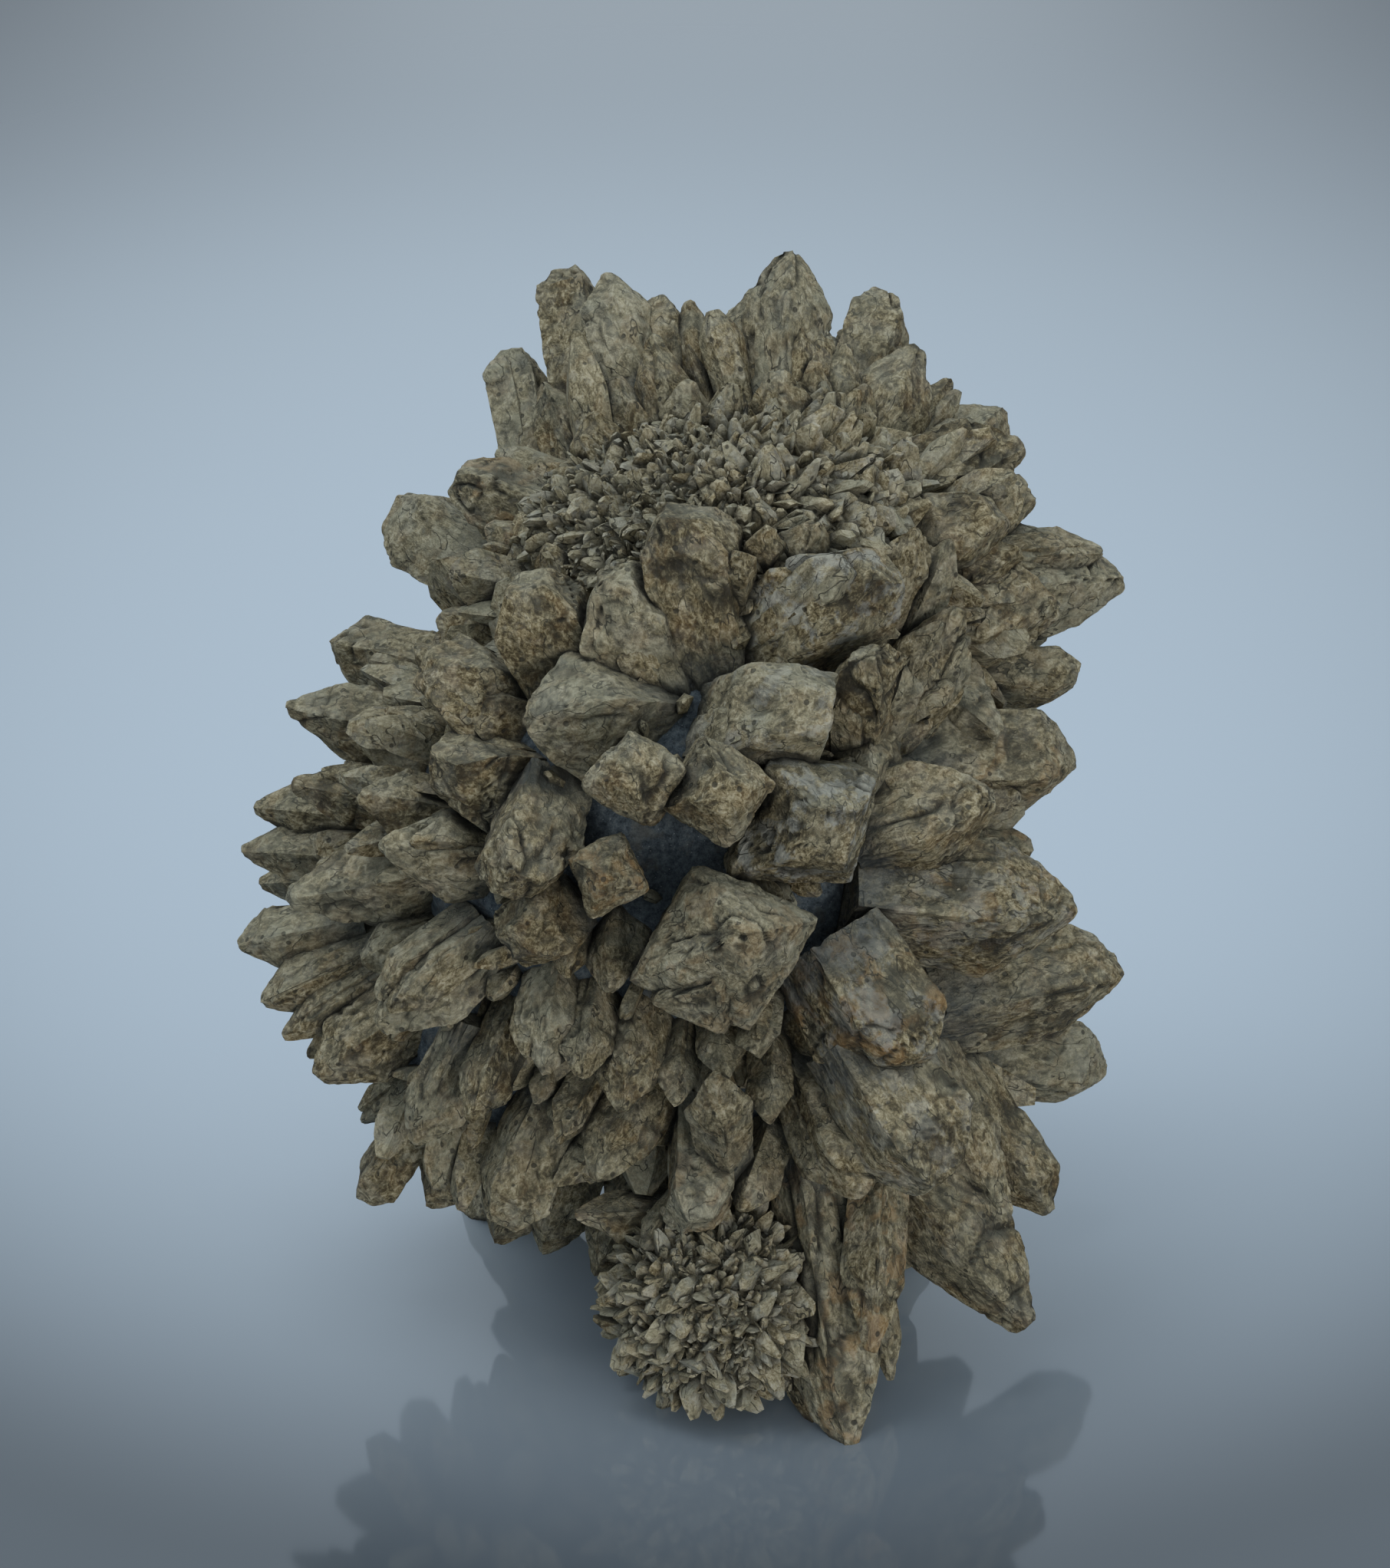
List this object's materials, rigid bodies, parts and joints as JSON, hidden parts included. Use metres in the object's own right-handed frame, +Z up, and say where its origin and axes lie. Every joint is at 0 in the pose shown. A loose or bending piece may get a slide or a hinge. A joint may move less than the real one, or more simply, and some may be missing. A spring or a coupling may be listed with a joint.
{
  "type": "mineral specimen",
  "caption": "Ball of blunt, radiating calcite crystals grown together, with patches of tiny crystals and dark matrix in the gaps, standing on its lowest points.",
  "frame": {"origin": "on the surface the specimen stands on, under the middle of its bounding box", "axes": "+Z up as it stands, -Y toward the viewer of the picture, +X to the viewer's right"},
  "size_m": [0.148, 0.1392, 0.1709],
  "materials": {
    "weathered_calcite": "dull, pitted, weathered tan calcite with slate-coloured fine matrix between the crystals"
  },
  "bodies": {
    "root": {"crystal_cluster": "weathered_calcite"}
  },
  "joints": []
}
